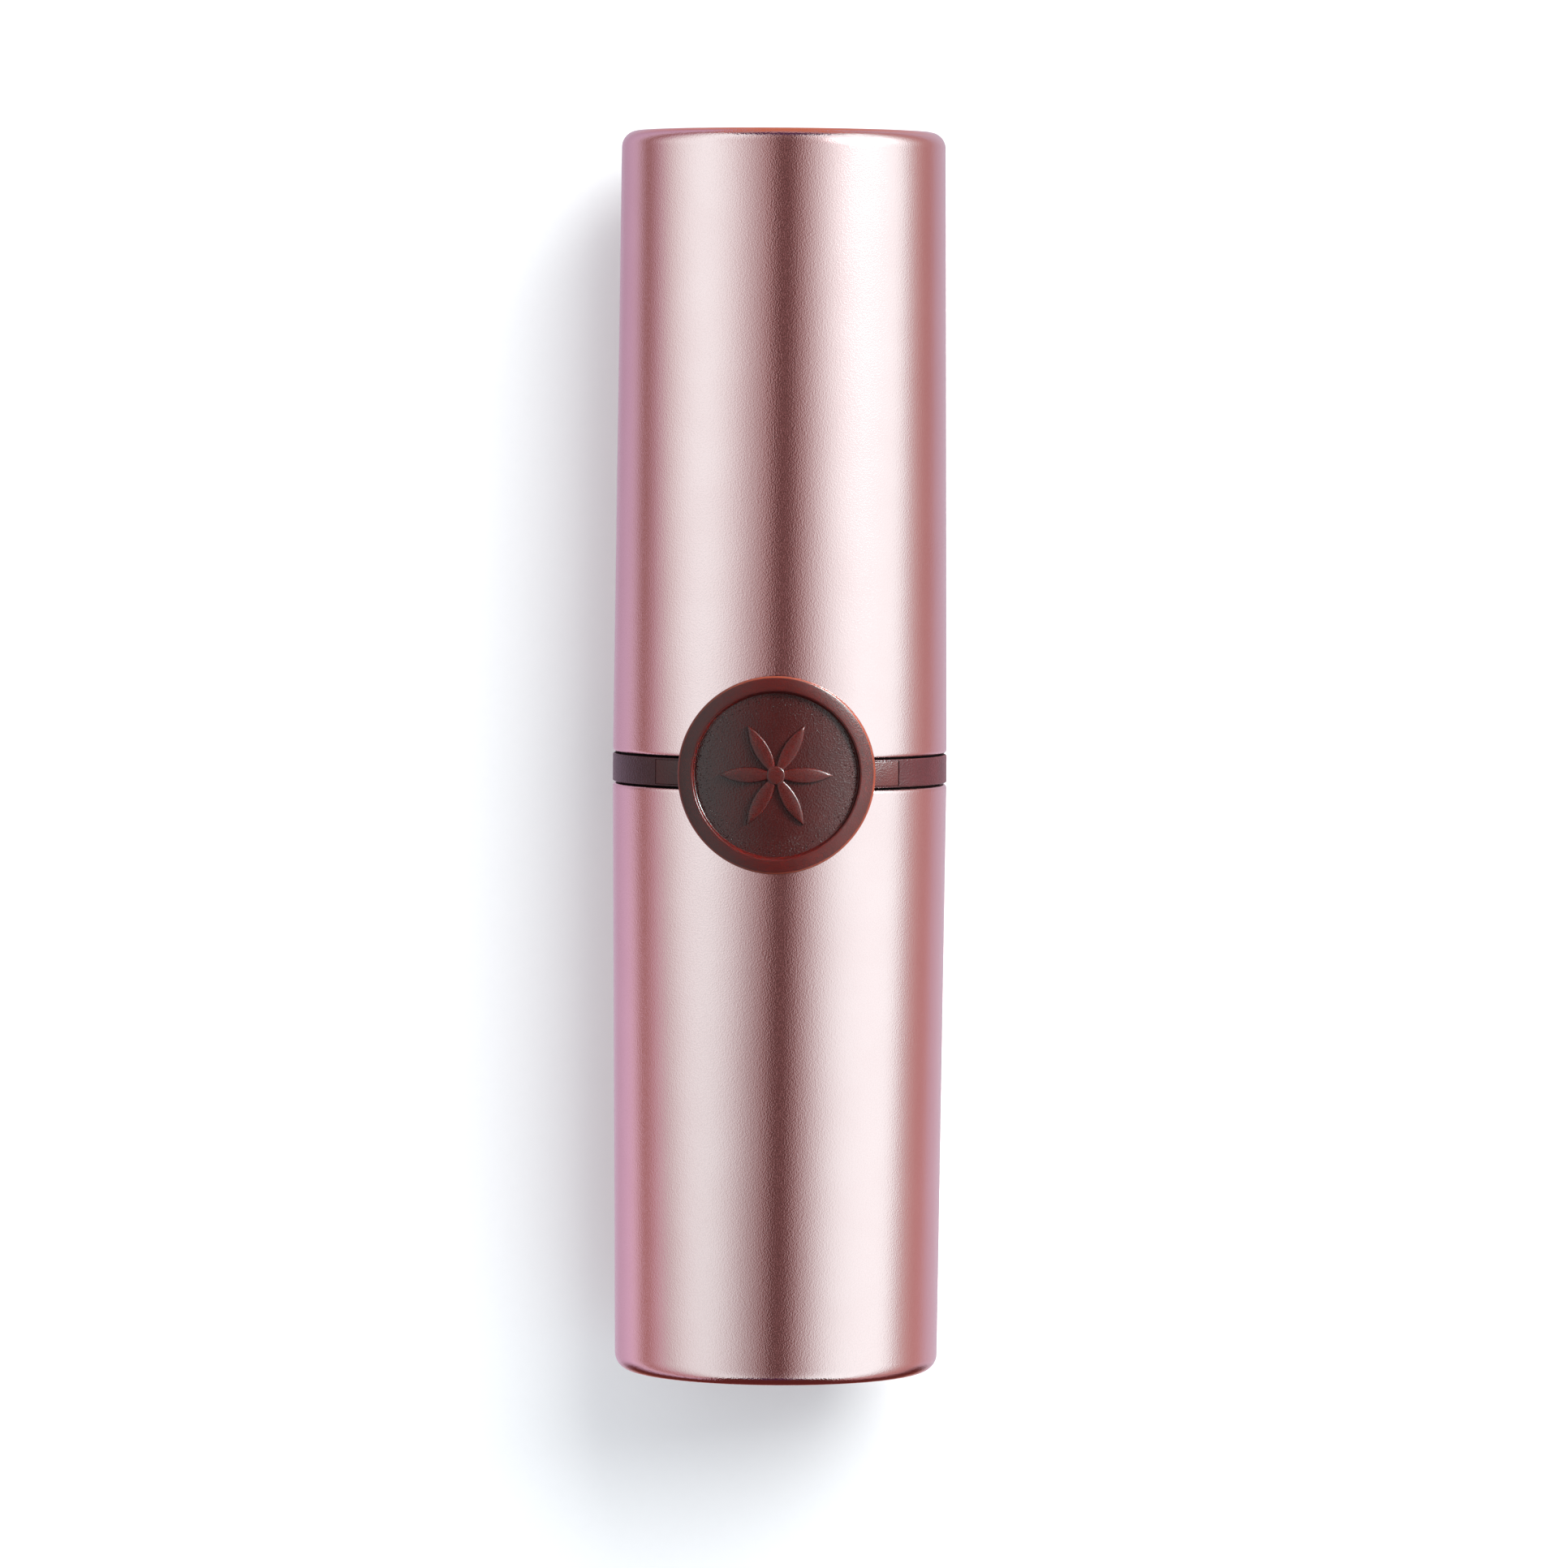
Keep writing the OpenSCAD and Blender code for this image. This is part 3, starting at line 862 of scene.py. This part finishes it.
def dimmed(colour):
    """A colour for one of the tent's ramps."""
    return tuple(c / TENT_PEAK for c in colour)


def round_ramp(tree, azimuth, colours):
    """A dimmed ramp of colours that are given by their azimuth in degrees."""
    node = tree.nodes.new("ShaderNodeValToRGB")
    stops = node.color_ramp.elements
    places = sorted(((0.25 + at / 360) % 1, colour) for at, colour in colours.items())
    while len(stops) < len(places):
        stops.new(0.5)
    for stop, (position, colour) in zip(stops, places):
        stop.position = position
        stop.color = (*dimmed(colour), 1)
    tree.links.new(azimuth, node.inputs["Fac"])
    return node.outputs["Color"]


def tent_mesh():
    """An open upright cylinder."""
    steps = 96
    corners = []
    for i in range(steps):
        a = 2 * math.pi * i / steps
        corners += [(TENT_R * math.cos(a), TENT_R * math.sin(a), z) for z in (TENT_LOW, TENT_HIGH)]
    count = len(corners)
    faces = [(i, i + 1, (i + 3) % count, (i + 2) % count) for i in range(0, count, 2)]
    mesh = bpy.data.meshes.new("light_tent")
    mesh.from_pydata(corners, [], faces)
    return mesh


def leaning_azimuth(tree, place):
    """Azimuth round the tent, from 0 to 1, whose stripes lean back a little as they rise."""
    level, reach, lean = 55 * MM, 150 * MM, 0.35
    shift = tree.nodes.new("ShaderNodeMath")
    shift.operation = "ADD"
    leant = tree.nodes.new("ShaderNodeCombineXYZ")
    turn = tree.nodes.new("ShaderNodeTexGradient")
    turn.gradient_type = "RADIAL"
    offset = ramp(tree, place.outputs["Z"], lean * reach, -lean * reach, level - reach, level + reach)
    tree.links.new(place.outputs["Y"], shift.inputs[0])
    tree.links.new(offset, shift.inputs[1])
    tree.links.new(place.outputs["X"], leant.inputs["X"])
    tree.links.new(shift.outputs["Value"], leant.inputs["Y"])
    tree.links.new(leant.outputs["Vector"], turn.inputs["Vector"])
    return factor_of(turn)


def tent():
    """A round tent whose brightness changes round the object. Only reflections see it. High at the back it is
    orange, for the cap's upper edge. Low at the back it is dark red and orange, for the base's lower edge."""
    obj, tree, glow = glowing("light_tent", tent_mesh())
    obj.visible_diffuse = False
    where = tree.nodes.new("ShaderNodeTexCoord")
    place = tree.nodes.new("ShaderNodeSeparateXYZ")
    tree.links.new(where.outputs["Object"], place.inputs["Vector"])
    y, z = place.outputs["Y"], place.outputs["Z"]
    azimuth = leaning_azimuth(tree, place)
    above = round_ramp(tree, azimuth, {at: light_colour(*light) for at, light in TENT.items()})
    below = round_ramp(tree, azimuth, {at: (share, share, share) for at, share in TENT_BELOW.items()})
    even = (1 / TENT_PEAK,) * 3
    high_back = times(tree, rising(tree, y, 400 * MM, 448 * MM), rising(tree, z, 200 * MM, 400 * MM))
    low_back = times(tree, rising(tree, y, 220 * MM, 320 * MM), rising(tree, z, -120 * MM, -200 * MM))
    edge_light = times(tree, rising(tree, z, -260 * MM, -170 * MM), rising(tree, y, 410 * MM, 445 * MM))
    edge = tint(tree, edge_light, dimmed(DARK_RED), dimmed(ORANGE))
    levels = tint(tree, high_back, above, dimmed(ORANGE))
    product = tree.nodes.new("ShaderNodeVectorMath")
    product.operation = "MULTIPLY"
    tree.links.new(tint(tree, low_back, levels, edge), product.inputs[0])
    tree.links.new(tint(tree, rising(tree, z, -25 * MM, 50 * MM), below, even), product.inputs[1])
    tree.links.new(product.outputs["Vector"], glow.inputs["Color"])
    glow.inputs["Strength"].default_value = TENT_PEAK ** 2


def dome():
    """Even light from all round, for all that isn't a reflection."""
    bm = bmesh.new()
    bmesh.ops.create_icosphere(bm, subdivisions=3, radius=LIGHT_DOME_R)
    mesh = bpy.data.meshes.new("light_dome")
    bm.to_mesh(mesh)
    bm.free()
    obj, _, glow = glowing("light_dome", mesh)
    glow.inputs["Color"].default_value = (*DOME_COLOUR, 1)
    glow.inputs["Strength"].default_value = 0.85
    obj.visible_glossy = False


def softboxes(ground):
    """Two softboxes above right. The smaller one leaves out the paper, so that the shadow stays soft."""
    above = softbox("light_above", 30, 30, 400 * MM, 300 * MM, 5.5)
    above.visible_glossy = False
    right = softbox("light_right", 62, 29, 500 * MM, 160 * MM, 155, (0.86, 1, 1.01))
    left_out = bpy.data.collections.new("left_out_by_light_right")
    left_out.objects.link(ground)
    left_out.collection_objects[0].light_linking.link_state = "EXCLUDE"
    right.light_linking.receiver_collection = left_out


def world():
    """What reflections see past the tent's open ends. From front to back it is dark violet, rose and orange
    above, and dark violet and dark red below."""
    studio = bpy.data.worlds.new("studio")
    studio.use_nodes = True
    tree = studio.node_tree
    where = tree.nodes.new("ShaderNodeTexCoord")
    split = tree.nodes.new("ShaderNodeSeparateXYZ")
    tree.links.new(where.outputs["Generated"], split.inputs["Vector"])
    y, z = split.outputs["Y"], split.outputs["Z"]
    overhead = tint(tree, rising(tree, y, -0.12, -0.02), DARK_VIOLET, DULL_ROSE)
    over = tint(tree, rising(tree, y, 0.08, 0.20), overhead, ORANGE)
    under = tint(tree, rising(tree, y, -0.35, -0.15), DARK_VIOLET, DARK_RED)
    colour = tint(tree, rising(tree, z, -0.1, 0.1), under, over)
    tree.links.new(colour, tree.nodes["Background"].inputs["Color"])
    tree.nodes["Background"].inputs["Strength"].default_value = 1.0
    bpy.context.scene.world = studio


camera()
surround()
ground = paper()
tent()
dome()
softboxes(ground)
world()
bpy.context.scene.view_settings.view_transform = "Standard"
